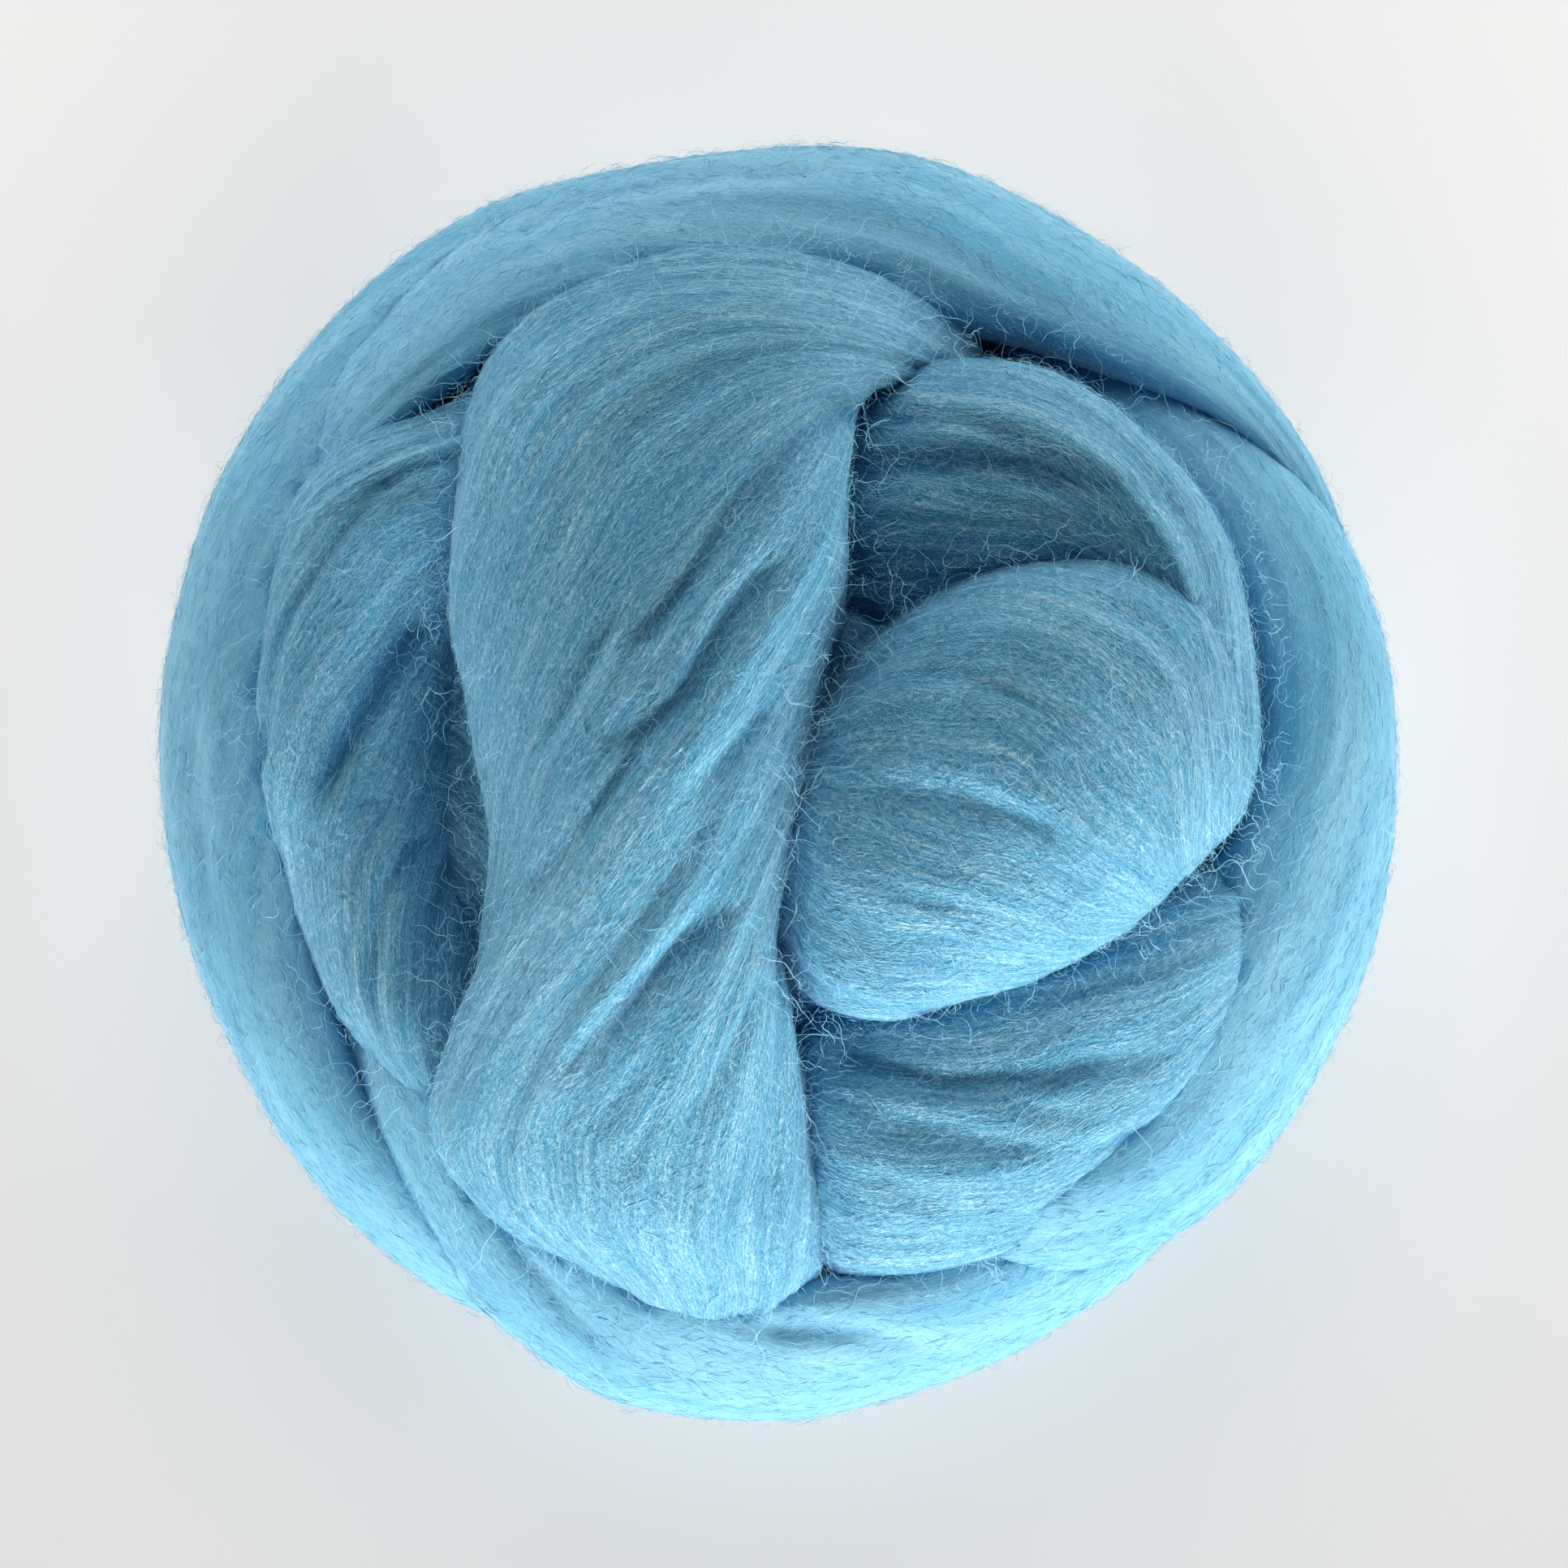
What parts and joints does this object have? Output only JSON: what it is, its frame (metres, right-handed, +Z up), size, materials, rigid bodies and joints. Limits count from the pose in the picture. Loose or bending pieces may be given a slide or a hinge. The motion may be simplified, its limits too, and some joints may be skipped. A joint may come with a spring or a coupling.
{
  "type": "nest of wool roving",
  "caption": "Nest of combed wool roving: a thick soft rope of fibre wound in stacked coils, with broad twisted folds laid across its top and a flat underside.",
  "frame": {"origin": "middle of the flat underside, on the surface the nest stands on", "axes": "+Z up; +Y towards the far side, where the centre band comes over the top; +X towards the side with the large rounded fold"},
  "size_m": [0.1478, 0.1521, 0.0789],
  "materials": {
    "wool": "loose combed fibre, matt with a faint silky sheen"
  },
  "bodies": {
    "root": {"roving": "wool"}
  },
  "joints": []
}
